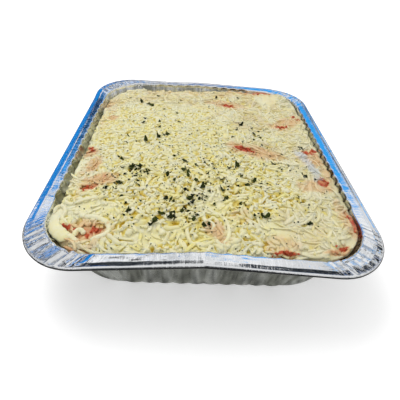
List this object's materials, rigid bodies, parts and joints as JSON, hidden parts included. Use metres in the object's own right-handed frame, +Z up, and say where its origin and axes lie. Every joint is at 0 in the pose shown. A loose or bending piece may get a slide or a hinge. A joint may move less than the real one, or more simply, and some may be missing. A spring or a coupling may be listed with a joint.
{
  "type": "foil tray meal",
  "caption": "Rectangular aluminium foil tray with fluted walls and a flat rolled rim, filled with lasagne under grated cheese and dark herb flakes.",
  "frame": {"origin": "middle of the underside of the tray's floor", "axes": "+Z up out of the tray, +Y along its length towards the end that is far in the picture, +X across it"},
  "size_m": [0.264, 0.324, 0.0593],
  "materials": {
    "foil": "bright pressed foil with fine scratches",
    "sauce_and_pasta": "moist, with soft pink and red sauce",
    "grated_cheese": "soft, slightly moist, pale cream yellow"
  },
  "bodies": {
    "root": {"foil_tray": "foil", "lasagne": "sauce_and_pasta", "grated_cheese": "grated_cheese"}
  },
  "joints": []
}
